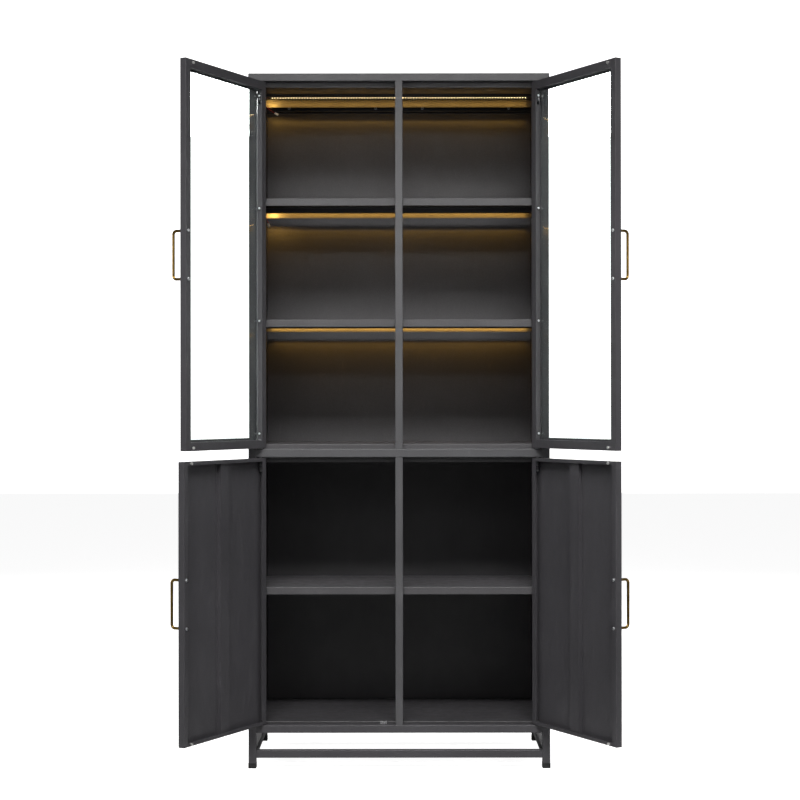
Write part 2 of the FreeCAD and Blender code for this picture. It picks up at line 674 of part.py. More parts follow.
def make_glazed_frame(side, z0, z1):
    """A welded hollow frame with a thin lip round the glass on the outer face."""
    slab = door_slab(side, z0, z1)
    hinge_face = STILE - HINGE_EDGE
    free_face = free_edge() - STILE
    past = DOOR_THICKNESS + OVERCUT
    slab = slab.cut(door_block(side, hinge_face, free_face, LIP_THICKNESS, past, z0 + RAIL, z1 - RAIL))
    slab = slab.cut(door_block(side, hinge_face + GLASS_LIP, free_face - GLASS_LIP, -OVERCUT, past,
                               z0 + RAIL + GLASS_LIP, z1 - RAIL - GLASS_LIP))
    wall = FRAME_WALL
    outer_cavity = door_block(side, wall - HINGE_EDGE, free_edge() - wall, LIP_THICKNESS,
                              DOOR_THICKNESS - wall, z0 + wall, z1 - wall)
    core = door_block(side, hinge_face - wall, free_face + wall, -OVERCUT, past,
                      z0 + RAIL - wall, z1 - RAIL + wall)
    slab = slab.cut(outer_cavity.cut(core))
    for face, direction in stile_faces():
        for z in clip_heights(z0, z1):
            slab = slab.cut(rod(CLIP_SCREW_RADIUS + SCREW_CLEARANCE,
                                door_point(side, face - direction * 2 * wall, CLIP_SCREW_DEPTH, z),
                                door_point(side, face + direction, CLIP_SCREW_DEPTH, z)))
    slot = PIN_GRIP_RADIUS + GRIP_SLOT_CLEARANCE
    level = upper_grip_level(z1)
    slot_middle = PIVOT_SETBACK + UPPER_GRIP_RISE * (hinge_face - wall / 2) / UPPER_GRIP_REACH
    slab = slab.cut(door_block(side, hinge_face - 2 * wall, hinge_face + OVERCUT, slot_middle - slot,
                               slot_middle + slot, level - PIN_TRAVEL - slot, level + slot))
    return cut_door_holes(slab, side, z0, z1)


def make_glass(side, z0, z1):
    """The pane, against the lip and a little smaller than the frame's reveal."""
    gap = GLASS_CLEARANCE
    return door_block(side, STILE - HINGE_EDGE + gap, free_edge() - STILE - gap, LIP_THICKNESS,
                      LIP_THICKNESS + GLASS_THICKNESS, z0 + RAIL + gap, z1 - RAIL - gap)


def make_glass_clips(side, z0, z1):
    """Small angles on the stiles that hold the pane against its lip."""
    clips = []
    back = LIP_THICKNESS + GLASS_THICKNESS
    for face, direction in stile_faces():
        for z in clip_heights(z0, z1):
            low = z - CLIP_LENGTH / 2
            high = z + CLIP_LENGTH / 2
            wall_end = face + direction * CLIP_WALL
            toe_end = face + direction * CLIP_TOE
            wall = door_block(side, face, wall_end, back, back + CLIP_DEPTH, low, high)
            toe = door_block(side, face, toe_end, back, back + CLIP_TOE_THICKNESS, low, high)
            clip = wall.fuse(toe).removeSplitter()
            clips.append(clip.cut(rod(CLIP_SCREW_RADIUS + SCREW_CLEARANCE,
                                      door_point(side, face - direction, CLIP_SCREW_DEPTH, z),
                                      door_point(side, toe_end, CLIP_SCREW_DEPTH, z))))
    return clips


def handle_screws(side, z0, z1):
    """The two screws that hold the handle, headed on the door's inner face."""
    screws = []
    length = DOOR_THICKNESS + HANDLE_THREAD_DEPTH - HANDLE_THREAD_GAP
    u = free_edge() - HANDLE_INSET
    for z in handle_heights(z0, z1):
        point = door_point(side, u, DOOR_THICKNESS, z)
        screws.append(screw(point, (0, -1, 0), SCREW_RADIUS, length, SCREW_HEAD_RADIUS, SCREW_HEAD_HEIGHT))
    return screws


def clip_screws(side, z0, z1):
    """The screws through the glass clips into the stiles."""
    screws = []
    for face, direction in stile_faces():
        for z in clip_heights(z0, z1):
            point = door_point(side, face + direction * CLIP_WALL, CLIP_SCREW_DEPTH, z)
            screws.append(screw(point, (side * direction, 0, 0), CLIP_SCREW_RADIUS, CLIP_SCREW_LENGTH,
                                CLIP_SCREW_HEAD_RADIUS, CLIP_SCREW_HEAD_HEIGHT))
    return screws


def make_handle(side, z0, z1):
    """A bent round bar: two legs with rounded corners, drilled for its screws."""
    low, high = handle_heights(z0, z1)
    u = free_edge() - HANDLE_INSET
    x = door_point(side, u, 0, 0).x
    far = FRONT - HANDLE_REACH
    turn = HANDLE_BEND
    slant = turn * (1 - math.sqrt(0.5))
    points = [(FRONT, low), (far + turn, low), (far + slant, low + slant), (far, low + turn),
              (far, high - turn), (far + slant, high - slant), (far + turn, high), (FRONT, high)]
    points = [FreeCAD.Vector(x, y, z) for y, z in points]
    edges = [Part.LineSegment(points[0], points[1]), Part.Arc(points[1], points[2], points[3]),
             Part.LineSegment(points[3], points[4]), Part.Arc(points[4], points[5], points[6]),
             Part.LineSegment(points[6], points[7])]
    wire = Part.Wire([edge.toShape() for edge in edges])
    section = Part.Wire(Part.Circle(points[0], FreeCAD.Vector(0, -1, 0), HANDLE_ROD / 2).toShape())
    handle = wire.makePipeShell([section], True, False)
    for z in (low, high):
        handle = handle.cut(rod(SCREW_RADIUS + SCREW_CLEARANCE, (x, FRONT + OVERCUT, z),
                                (x, FRONT - HANDLE_THREAD_DEPTH, z)))
    return handle


def make_magnets(side, z0, z1, inset):
    """Two round magnets on the inner face, near the free edge's corners."""
    magnets = []
    u = free_edge() - MAGNET_END_INSET
    for z in (z0 + inset, z1 - inset):
        magnets.append(rod(MAGNET_RADIUS, door_point(side, u, DOOR_THICKNESS, z),
                           door_point(side, u, DOOR_THICKNESS + MAGNET_PROUD, z)))
    return magnets


def make_spring_pin(side, z1, level, grip_end):
    """The sprung top pivot: a round pin with a side grip at its foot that draws it down."""
    foot = door_point(side, 0, PIVOT_SETBACK, level - PIN_GRIP_RADIUS - PIN_FOOT)
    pin = rod(PIN_RADIUS, foot, door_point(side, 0, PIVOT_SETBACK, z1 + DOOR_GAP + PIN_ENGAGEMENT))
    u, d = grip_end
    grip = rod(PIN_GRIP_RADIUS, door_point(side, 0, PIVOT_SETBACK, level), door_point(side, u, d, level))
    return pin.fuse(grip)


def make_door_pan(side, z0, z1):
    """A sheet door: outer skin, returns on four edges, lips, and the spring pin's guide."""
    slab = door_slab(side, z0, z1)
    slab = slab.cut(door_block(side, SHEET - HINGE_EDGE, free_edge() - SHEET, SHEET, DOOR_THICKNESS - SHEET,
                               z0 + SHEET, z1 - SHEET))
    slab = slab.cut(door_block(side, HINGE_LIP - HINGE_EDGE, free_edge() - FREE_LIP,
                               DOOR_THICKNESS - 2 * SHEET, DOOR_THICKNESS + OVERCUT,
                               z0 + EDGE_LIP, z1 - EDGE_LIP))
    guide_top = z1 - GUIDE_DROP
    guide = door_block(side, -GUIDE_HALF_WIDTH, GUIDE_HALF_WIDTH, SHEET, PIVOT_SETBACK + GUIDE_HALF_WIDTH,
                       guide_top - GUIDE_THICKNESS, guide_top)
    bore = PIN_RADIUS + PIN_CLEARANCE
    guide = guide.cut(rod(bore, door_point(side, 0, PIVOT_SETBACK, guide_top - 2 * GUIDE_THICKNESS),
                          door_point(side, 0, PIVOT_SETBACK, guide_top + GUIDE_THICKNESS)))
    slab = slab.fuse(guide).removeSplitter()
    return cut_door_holes(slab, side, z0, z1)


def make_stiffener(side, z0, z1):
    """A folded hat section down the middle of a sheet door."""
    middle = DOOR_WIDTH / 2 - HINGE_EDGE
    half = STIFFENER_WIDTH / 2
    foot = half + STIFFENER_FOOT
    low = z0 + SHEET + STIFFENER_END_GAP
    high = z1 - SHEET - STIFFENER_END_GAP
    top = SHEET + STIFFENER_HEIGHT
    hat = door_block(side, middle - half, middle + half, SHEET, top, low, high)
    hat = hat.fuse(door_block(side, middle - foot, middle + foot, SHEET, 2 * SHEET, low, high))
    hat = hat.removeSplitter()
    return hat.cut(door_block(side, middle - half + SHEET, middle + half - SHEET, SHEET - OVERCUT,
                              top - SHEET, low - OVERCUT, high + OVERCUT))


def make_upper_door(side, side_name, angle):
    """One glazed door with everything that turns with it."""
    z0 = MIDDLE_RAIL_TOP + DOOR_GAP
    z1 = OPENING_TOP - DOOR_GAP
    name = "upper_door_" + side_name + "_"
    save_door(name + "frame", [make_glazed_frame(side, z0, z1)], side, angle)
    save_door(name + "glass", [make_glass(side, z0, z1)], side, angle)
    save_door(name + "glass_clips", make_glass_clips(side, z0, z1), side, angle)
    save_door(name + "screws", clip_screws(side, z0, z1) + handle_screws(side, z0, z1), side, angle)
    save_door(name + "handle", [make_handle(side, z0, z1)], side, angle)
    save_door(name + "magnets", make_magnets(side, z0, z1, UPPER_MAGNET_INSET), side, angle)
    grip_end = (UPPER_GRIP_REACH, PIVOT_SETBACK + UPPER_GRIP_RISE)
    save_door(name + "spring_pin", [make_spring_pin(side, z1, upper_grip_level(z1), grip_end)], side, angle)


def make_lower_door(side, side_name, angle):
    """One sheet door with everything that turns with it."""
    z0 = OPENING_BOTTOM + DOOR_GAP
    z1 = MIDDLE_RAIL_BOTTOM - DOOR_GAP
    name = "lower_door_" + side_name + "_"
    save_door(name + "panel", [make_door_pan(side, z0, z1)], side, angle)
    save_door(name + "stiffener", [make_stiffener(side, z0, z1)], side, angle)
    save_door(name + "screws", handle_screws(side, z0, z1), side, angle)
    save_door(name + "handle", [make_handle(side, z0, z1)], side, angle)
    save_door(name + "magnets", make_magnets(side, z0, z1, LOWER_MAGNET_INSET), side, angle)
    grip_end = (0, DOOR_THICKNESS - LOWER_GRIP_END_GAP)
    save_door(name + "spring_pin", [make_spring_pin(side, z1, lower_grip_level(z1), grip_end)], side, angle)


os.makedirs("parts", exist_ok=True)
make_posts()
make_centre_post()
make_front_rails()
make_rear_rail()
make_stretchers()
make_foot_caps()
make_top_cap()
make_side_panels()
make_back_panels()
make_door_stops()
make_shelves()
make_floors()
make_panel_screws()
make_keeper()
make_pivot_studs()
make_lights()
make_upper_door(-1, "left", UPPER_LEFT_ANGLE)
make_upper_door(1, "right", UPPER_RIGHT_ANGLE)
make_lower_door(-1, "left", LOWER_LEFT_ANGLE)
make_lower_door(1, "right", LOWER_RIGHT_ANGLE)
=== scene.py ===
from collections import namedtuple
import json
import math

import bpy
import numpy as np
from mathutils import Matrix, Vector


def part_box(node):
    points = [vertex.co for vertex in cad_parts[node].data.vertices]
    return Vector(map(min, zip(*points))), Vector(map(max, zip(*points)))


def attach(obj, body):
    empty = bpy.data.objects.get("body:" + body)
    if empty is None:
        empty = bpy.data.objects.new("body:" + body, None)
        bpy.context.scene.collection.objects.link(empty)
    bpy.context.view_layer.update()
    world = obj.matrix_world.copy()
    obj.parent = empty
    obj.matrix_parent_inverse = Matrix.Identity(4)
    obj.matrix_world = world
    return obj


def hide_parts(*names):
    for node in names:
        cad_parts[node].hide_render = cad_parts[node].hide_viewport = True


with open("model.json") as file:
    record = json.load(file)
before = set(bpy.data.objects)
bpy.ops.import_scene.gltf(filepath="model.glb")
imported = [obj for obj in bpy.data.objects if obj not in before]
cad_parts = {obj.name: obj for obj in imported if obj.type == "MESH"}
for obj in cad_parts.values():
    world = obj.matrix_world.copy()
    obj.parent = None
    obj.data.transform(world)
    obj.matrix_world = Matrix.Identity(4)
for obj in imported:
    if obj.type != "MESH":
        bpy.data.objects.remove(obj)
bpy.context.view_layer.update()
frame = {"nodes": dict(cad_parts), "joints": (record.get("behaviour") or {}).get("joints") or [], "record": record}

# Looks for a free-standing steel display cabinet with four open doors and warm light strips.
# Lengths are in metres, in the frame of the CAD model. Millimetre values are times MM.

MM = 0.001
NODES = frame["nodes"]


# ---- Camera, light and floor ---------------------------------------------------------------


# Lens and sensor in millimetres, place in metres, turns in radians.
LENS = 75.98
SENSOR_WIDTH = 36.0
CAMERA_PLACE = (0.0062, -4.675, 0.9602)
CAMERA_YAW = 0.0008
CAMERA_TILT = 0.0037
CAMERA_ROLL = -0.001


def make_camera():
    """A long lens about 4.5 m in front of the cabinet, at half its height, nearly level."""
    data = bpy.data.cameras.new("studio_camera")
    data.lens = LENS
    data.sensor_width = SENSOR_WIDTH
    data.clip_end = 60.0
    camera = bpy.data.objects.new("studio_camera", data)
    bpy.context.scene.collection.objects.link(camera)
    turn = Matrix.Rotation(CAMERA_YAW, 4, "Z") @ Matrix.Rotation(math.pi / 2 + CAMERA_TILT, 4, "X")
    turn = turn @ Matrix.Rotation(CAMERA_ROLL, 4, "Z")
    camera.matrix_world = Matrix.Translation(CAMERA_PLACE) @ turn
    bpy.context.scene.camera = camera


def add(tree, kind, settings=None, **links):
    """Add one node: settings are its attributes and unlinked sockets, links feed its sockets.

    A link called i0, i1 and so on feeds the socket of that number; any other is a socket's name
    with underscores for its spaces.
    """
    node = tree.nodes.new(kind)
    for key, value in (settings or {}).items():
        if key in node.inputs:
            node.inputs[key].default_value = value
        else:
            setattr(node, key, value)
    for key, source in links.items():
        numbered = key[0] == "i" and key[1:].isdigit()
        socket = node.inputs[int(key[1:]) if numbered else key.replace("_", " ")]
        tree.links.new(source, socket)
    return node


def linear(code):
    """A colour written as sRGB hex, as linear red, green, blue and alpha."""
    parts = [int(code[i:i + 2], 16) / 255 for i in (0, 2, 4)]
    return tuple(c / 12.92 if c <= 0.04045 else ((c + 0.055) / 1.055) ** 2.4 for c in parts) + (1.0,)


def area_light(name, place, aim, width, height, power, colour, beam=None):
    """A soft rectangular lamp at a place, facing a point; beam is its spread in degrees, when it
    has a grid."""
    data = bpy.data.lights.new(name, "AREA")
    data.shape = "RECTANGLE"
    data.size = width
    data.size_y = height
    data.energy = power
    data.color = colour[:3]
    if beam:
        data.spread = math.radians(beam)
    lamp = bpy.data.objects.new(name, data)
    bpy.context.scene.collection.objects.link(lamp)
    facing = (Vector(aim) - Vector(place)).to_track_quat("-Z", "Y").to_matrix().to_4x4()
    lamp.matrix_world = Matrix.Translation(place) @ facing


def seen_or_lighting(tree, lighting, seen):
    """Mix two shaders: seen for the rays that look straight or through glass, lighting for the
    rest."""
    path = add(tree, "ShaderNodeLightPath")
    direct = add(tree, "ShaderNodeMath", {"operation": "MAXIMUM"}, i0=path.outputs["Is Camera Ray"],
                 i1=path.outputs["Is Transmission Ray"])
    return add(tree, "ShaderNodeMixShader", i0=direct.outputs[0], i1=lighting.outputs[0],
               i2=seen.outputs[0])


def make_world():
    """Even white studio surround: bright where it is seen, gentler where it lights the cabinet."""
    world = bpy.data.worlds.new("studio_surround")
    bpy.context.scene.world = world
    world.use_nodes = True
    tree = world.node_tree
    tree.nodes.clear()
    seen = add(tree, "ShaderNodeBackground", {"Color": (1, 1, 1, 1), "Strength": 1.8})
    lighting = add(tree, "ShaderNodeBackground", {"Color": (0.96, 0.97, 1, 1), "Strength": 0.07})
    mix = seen_or_lighting(tree, lighting, seen)
    add(tree, "ShaderNodeOutputWorld", Surface=mix.outputs[0])
    settings = bpy.context.scene.view_settings
    settings.view_transform = "Standard"
    settings.look = "None"


def make_floor():
    """A plain pale sheet under the cabinet, bright enough to run into the white surround."""
    half = 14.0
    mesh = bpy.data.meshes.new("studio_floor")
    corners = [(-half, -half, 0), (half, -half, 0), (half, half, 0), (-half, half, 0)]
    mesh.from_pydata(corners, [], [(0, 1, 2, 3)])
    floor = bpy.data.objects.new("studio_floor", mesh)
    bpy.context.scene.collection.objects.link(floor)
    material = bpy.data.materials.new("pale_studio_floor")
    material.use_nodes = True
    tree = material.node_tree
    tree.nodes.clear()
    seen = add(tree, "ShaderNodeBsdfPrincipled", {"Base Color": linear("c8c8c8"), "Roughness": 0.8,
                                                  "Emission Color": (1, 1, 1, 1), "Emission Strength": 0.9})
    lighting = add(tree, "ShaderNodeBsdfPrincipled", {"Base Color": linear("a8a8a8"), "Roughness": 0.8})
    mix = seen_or_lighting(tree, lighting, seen)
    add(tree, "ShaderNodeOutputMaterial", Surface=mix.outputs[0])
    mesh.materials.append(material)


def make_lights():
    """Two wide soft lamps high in front, one with a grid aimed at the lower half, fills beside
    them, a gridded one for the glazed bays, one lamp for each side and one for the back, set so
    that they don't reach the open front, one over the top, and the cabinet's own warm strips."""
    white = (1.0, 0.99, 0.985)
    area_light("key_high_front", (0, -2.1, 3.7), (0, -0.2, 1.3), 2.4, 0.5, 44, white)
    area_light("key_low_doors", (0, -2.5, 3.0), (0, -0.2, 0.25), 2.4, 0.5, 23, white, 60)
    area_light("fill_bays", (0, -4.0, 2.5), (0, 0.2, 1.45), 1.4, 0.2, 0.44, white, 24)
    area_light("fill_left", (-2.2, -2.8, 1.9), (0, -0.2, 0.8), 0.8, 1.0, 13, white)
    area_light("fill_right", (2.2, -2.8, 1.9), (0, -0.2, 0.8), 0.8, 1.0, 17, white)
    area_light("side_left", (-3.6, 1.5, 1.2), (0, 0.1, 0.9), 1.4, 1.2, 75, white)
    area_light("side_right", (3.6, 1.5, 1.2), (0, 0.1, 0.9), 1.4, 1.2, 75, white)
    area_light("back_high", (0, 3.8, 2.8), (0, 0.2, 1.0), 2.6, 1.0, 95, white)
    area_light("over_top", (0, -0.2, 4.4), (0, 0, 1.8), 2.4, 1.6, 15, (1, 1, 1))
    for strip in strip_rows():
        strip_lamps(strip)


Strip = namedtuple("Strip", "y z wash glow pan end")
SHELF_STRIP_THICKNESS = 1.5 * MM
WARM = linear("ffc45e")


def strip_rows():
    """Each strip's middle y and underside z, the power in watts of its wash down and its glow
    onto the flange, the pan it is under, and the extra power at its left end."""
    top_low, top_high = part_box("led_strip_top")
    low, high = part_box("led_strips_shelves")
    top_middle = (top_low[1] + top_high[1]) / 2
    middle = (low[1] + high[1]) / 2
    return [Strip(top_middle, top_low[2], 0.085, 0.13, "ceiling_panel", 0.04),
            Strip(middle, high[2] - SHELF_STRIP_THICKNESS, 0.07, 0.21, "upper_shelf_1", 0.09),
            Strip(middle, low[2], 0.07, 0.33, "upper_shelf_2", 0.0)]


# Where the lamps of a strip stand. FLANGE: in front of the pan's rear edge and above its lowest
# edge. BACK: in front of the rear rail's back face and below the pan. END: in front of the flange
# lamp and in from the strip's left end. The shares are parts of the wash and of the glow.
FLANGE_GAP = 16 * MM
FLANGE_LIFT = 9.5 * MM
BACK_GAP = 12 * MM
BACK_DROP = 30 * MM
END_SHIFT = 10 * MM
END_INSET = 2 * MM
CHIP_FACE_GAP = 1.6 * MM
BAY_BEAM = 170
BACK_SHARE = 0.45
CEILING_SHARE = 0.12


def strip_lamps(strip):
    """The light of one strip: down over its bay, back onto the pan's rear flange and the top of
    the back panel, and up in front onto the pan's underside."""
    y, z = strip.y, strip.z
    low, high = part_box("led_strip_top")
    width = high[0] - low[0]
    pan_low, pan_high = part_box(strip.pan)
    near = pan_high[1] - FLANGE_GAP
    level = pan_low[2] + FLANGE_LIFT
    area_light("strip_bay", (0, y, z - CHIP_FACE_GAP), (0, y + 0.2, z - 0.25), width, 6 * MM,
               strip.wash, WARM, BAY_BEAM)
    area_light("strip_flange", (0, near, level), (0, near + 1, level), width, 4 * MM, strip.glow, WARM)
    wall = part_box("rear_top_rail")[1][1] - BACK_GAP
    area_light("strip_back", (0, wall, pan_low[2] - BACK_DROP),
               (0, wall + 20 * MM, pan_low[2] - 60 * MM), width, 6 * MM, strip.wash * BACK_SHARE, WARM)
    area_light("strip_ceiling", (0, y - 5 * MM, z - 5 * MM), (0, y - 12 * MM, z), width, 3 * MM,
               strip.glow * CEILING_SHARE, WARM)
    if strip.end:
        x = low[0] + END_INSET
        area_light("strip_end", (x, near - END_SHIFT, level), (x, near, level), 26 * MM, 5 * MM,
                   strip.end, WARM)


make_camera()
make_world()
make_floor()
make_lights()


# ---- Materials -----------------------------------------------------------------------------


def new_material(name):
    """A material with an empty node tree."""
    material = bpy.data.materials.new(name)
    material.use_nodes = True
    material.node_tree.nodes.clear()
    return material, material.node_tree


def grain(tree, size, detail=2.0, stretch=(1, 1, 1), offset=0.0):
    """Noise on object coordinates whose features are about size metres across."""
    place = add(tree, "ShaderNodeTexCoord")
    scaled = add(tree, "ShaderNodeMapping", {"Scale": stretch, "Location": (offset, offset, offset)},
                 Vector=place.outputs["Object"])
    return add(tree, "ShaderNodeTexNoise", {"Scale": 1.0 / size, "Detail": detail, "Roughness": 0.55},
               Vector=scaled.outputs[0])


def ramp(tree, source, low, high, dark, light):
    """Turn a 0 to 1 value into a colour that runs from dark to light between two levels."""
    node = add(tree, "ShaderNodeValToRGB", Fac=source)
    node.color_ramp.elements[0].position = low
    node.color_ramp.elements[1].position = high
    node.color_ramp.elements[0].color = dark
    node.color_ramp.elements[1].color = light
    return node


def spread(tree, source, low, high):
    """Map a noise value to a plain number between low and high."""
    return add(tree, "ShaderNodeMapRange", {"From Min": 0.3, "From Max": 0.7, "To Min": low, "To Max": high},
               Value=source)


def powder_coat(name, dark, light, rub, offset):
    """Polyester powder coat, sprayed and baked on steel: fine orange peel, faint cloudy handling
    marks. The peel is about 1 mm across; it is drawn 2.6 mm across, because finer doesn't show."""
    material, tree = new_material(name)
    cloud = grain(tree, 220 * MM, 3.0, offset=offset)
    peel = grain(tree, 2.6 * MM, 2.0, offset=offset)
    scuff = grain(tree, 26 * MM, 4.0, (1, 1, 0.35), offset + 3.0)
    base = ramp(tree, cloud.outputs["Fac"], 0.32, 0.68, linear(dark), linear(light))
    worn = ramp(tree, scuff.outputs["Fac"], 0.62, 0.8, (0, 0, 0, 1), (0.35, 0.35, 0.35, 1))
    colour = add(tree, "ShaderNodeMixRGB", {"Color2": linear(rub)}, Fac=worn.outputs[0],
                 Color1=base.outputs[0])
    speck = ramp(tree, peel.outputs["Fac"], 0.3, 0.7, (0.86, 0.86, 0.86, 1), (1.12, 1.12, 1.12, 1))
    colour = add(tree, "ShaderNodeMixRGB", {"blend_type": "MULTIPLY", "Fac": 1.0}, Color1=colour.outputs[0],
                 Color2=speck.outputs[0])
    rough = spread(tree, scuff.outputs["Fac"], 0.44, 0.58)
    bump = add(tree, "ShaderNodeBump", {"Strength": 0.35, "Distance": 0.12 * MM}, Height=peel.outputs["Fac"])
    shader = add(tree, "ShaderNodeBsdfPrincipled", {"IOR": 1.5}, Base_Color=colour.outputs[0],
                 Roughness=rough.outputs[0], Normal=bump.outputs[0])
    add(tree, "ShaderNodeOutputMaterial", Surface=shader.outputs[0])
    return material


def plated_metal(name, dark, light, rough_low, rough_high, streak):
    """A plated, turned or drawn metal part: fine streaks along its length and uneven gloss.
    Streaks are about 0.5 mm apart; they are drawn 1.5 mm apart, because finer doesn't show."""
    material, tree = new_material(name)
    lines = grain(tree, 1.5 * MM, 3.0, streak)
    stain = grain(tree, 9 * MM, 3.0, offset=5.0)
    base = ramp(tree, stain.outputs["Fac"], 0.35, 0.65, linear(dark), linear(light))
    rough = spread(tree, lines.outputs["Fac"], rough_low, rough_high)
    bump = add(tree, "ShaderNodeBump", {"Strength": 0.2, "Distance": 0.05 * MM}, Height=lines.outputs["Fac"])
    shader = add(tree, "ShaderNodeBsdfPrincipled", {"Metallic": 1.0}, Base_Color=base.outputs[0],
                 Roughness=rough.outputs[0], Normal=bump.outputs[0])
    add(tree, "ShaderNodeOutputMaterial", Surface=shader.outputs[0])
    return material


def moulded_plastic(name, dark, light, roughness, mottle):
    """Injection-moulded plastic: a light spark-eroded texture and slight flow variation."""
    material, tree = new_material(name)
    flow = grain(tree, mottle, 2.0)
    base = ramp(tree, flow.outputs["Fac"], 0.35, 0.65, linear(dark), linear(light))
    rough = spread(tree, flow.outputs["Fac"], roughness - 0.06, roughness + 0.06)
    texture = grain(tree, 1.2 * MM, 2.0)
    bump = add(tree, "ShaderNodeBump", {"Strength": 0.25, "Distance": 0.06 * MM},
               Height=texture.outputs["Fac"])
    shader = add(tree, "ShaderNodeBsdfPrincipled", {"IOR": 1.5}, Base_Color=base.outputs[0],
                 Roughness=rough.outputs[0], Normal=bump.outputs[0])
    add(tree, "ShaderNodeOutputMaterial", Surface=shader.outputs[0])
    return material


def float_glass(name):
    """Float glass, 4 mm, drawn flat on molten tin: clear with a faint green body and light dust."""
    material, tree = new_material(name)
    dust = grain(tree, 60 * MM, 4.0)
    rough = spread(tree, dust.outputs["Fac"], 0.0, 0.03)
    shader = add(tree, "ShaderNodeBsdfPrincipled", {"Base Color": linear("eef4f2"), "IOR": 1.5,
                                                    "Transmission Weight": 1.0}, Roughness=rough.outputs[0])
    add(tree, "ShaderNodeOutputMaterial", Surface=shader.outputs[0])
    return material


def phosphor(name):
    """The yellow silicone over a warm white light chip, lit: it glows evenly over its face."""
    material, tree = new_material(name)
    cells = grain(tree, 2 * MM, 1.0)
    base = ramp(tree, cells.outputs["Fac"], 0.3, 0.7, linear("ffd38a"), linear("fff0cf"))
    shader = add(tree, "ShaderNodeBsdfPrincipled", {"Roughness": 0.4, "Emission Color": linear("ffe2a8"),
                                                    "Emission Strength": 9.0}, Base_Color=base.outputs[0])
    add(tree, "ShaderNodeOutputMaterial", Surface=shader.outputs[0])
    return material


def paint(material, *nodes):
    """Give CAD nodes a material by assigning every slot they have."""
    for node in nodes:
        slots = NODES[node].material_slots
        if not slots:
            NODES[node].data.materials.append(material)
        for entry in slots:
            entry.material = material


CABINET_COAT = powder_coat("powder_coat_charcoal", "3b3b3d", "434345", "5a5a5b", 0.0)
# A slightly darker copy of the charcoal coat: faint painted shade for the side and upper back panels, shelves,
# ceiling, middle floor and door stops.
FAINT_SHADE_PAINT = powder_coat("powder_coat_charcoal_sheet", "39383a", "403f41", "525152", 7.0)
# A darker copy of the charcoal coat: painted shade for the doors, the posts, the front bottom rail and the base
# stretchers, where less light falls.
MID_SHADE_PAINT = powder_coat("powder_coat_charcoal_door", "333235", "39383b", "4c4b4e", 13.0)
# The darkest copy of the charcoal coat: painted deep shade for the lower back panel, the bottom floor and the rear
# top rail, which sit in shadow.
DEEP_SHADE_PAINT = powder_coat("powder_coat_charcoal_inner", "2a292b", "313032", "3f3e40", 21.0)
BRASS = plated_metal("satin_antique_brass", "6b5426", "8f7238", 0.28, 0.42, (1, 1, 0.05))
ZINC = plated_metal("zinc_plated_steel", "c3c5c8", "e0e2e4", 0.25, 0.4, (1, 1, 1))
NICKEL = plated_metal("nickel_plated_magnet", "dcdbd8", "f0efec", 0.42, 0.55, (1, 1, 1))
STEEL = plated_metal("turned_steel", "77787a", "9b9c9d", 0.3, 0.45, (1, 1, 0.2))
KEEPER = plated_metal("plated_keeper", "b0b1b2", "d0d1d2", 0.22, 0.35, (0.2, 1, 1))
FEET = moulded_plastic("polyethylene_black", "0e0e0f", "161617", 0.55, 8 * MM)
CLIPS = moulded_plastic("nylon_clip_black", "1b1b1c", "262627", 0.45, 5 * MM)
STRIP = moulded_plastic("light_strip_resin", "3e3220", "52432b", 0.3, 7.6 * MM)
NYLON = moulded_plastic("nylon_connector", "f2f0e8", "fbfaf5", 0.45, 4 * MM)
PVC_RED = moulded_plastic("pvc_red", "c3261a", "d8392a", 0.38, 5 * MM)
PVC_WHITE = moulded_plastic("pvc_white", "d9d5cb", "e8e5dd", 0.38, 5 * MM)
GLASS = float_glass("float_glass_clear")
GLOW = phosphor("warm_phosphor")
# Painted shadow: a near-black inlay that stands for the shade inside the screws' cross recesses.
PAINTED_CROSS_SHADOW = moulded_plastic("recess_shadow", "141415", "1e1e1f", 0.7, 2 * MM)

PAINTS = {"cabinet_paint": CABINET_COAT, "door_paint": MID_SHADE_PAINT, "pane_glass": GLASS, "clip_plastic": CLIPS,
          "handle_brass": BRASS, "magnet_nickel": NICKEL, "pivot_steel": STEEL, "screw_zinc": ZINC,
          "keeper_steel": KEEPER, "foot_plastic": FEET, "strip_plastic": STRIP, "lead_plastic": PVC_RED,
          "plug_plastic": NYLON}
for entry in frame["record"]["subparts"]:
    paint(PAINTS[entry["material_slot"]], entry["node"])
# Faint painted shade: the sheet panels, shelves, ceiling, middle floor and door stops take the slightly darker
# copy of the coat.
paint(FAINT_SHADE_PAINT, "side_panel_left", "side_panel_right", "back_panel_upper", "upper_shelf_1",
      "upper_shelf_2", "lower_shelf", "ceiling_panel", "middle_floor", "door_stops")
# Painted shade: the posts, the front bottom rail and the base stretchers take the darker copy of the coat that the
# doors have.
paint(MID_SHADE_PAINT, "front_post_left", "front_post_right", "front_bottom_rail",
      "base_stretcher_front", "base_stretcher_left", "base_stretcher_right", "base_stretcher_rear",
      "rear_post_left", "rear_post_right")
# Painted deep shade: the lower back panel, the bottom floor and the rear top rail take the darkest copy of the
# coat.
paint(DEEP_SHADE_PAINT, "back_panel_lower", "bottom_floor", "rear_top_rail")


# ---- Shapes --------------------------------------------------------------------------------


def new_piece(name, points, faces, material, body):
    """A mesh object from arrays of corners and faces, riding a body."""
    mesh = bpy.data.meshes.new(name)
    mesh.from_pydata(np.asarray(points).tolist(), [], [list(face) for face in faces])
    mesh.update()
    for finish in (material if isinstance(material, (list, tuple)) else [material]):
        mesh.materials.append(finish)
    piece = bpy.data.objects.new(name, mesh)
    bpy.context.scene.collection.objects.link(piece)
    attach(piece, body)
    return piece


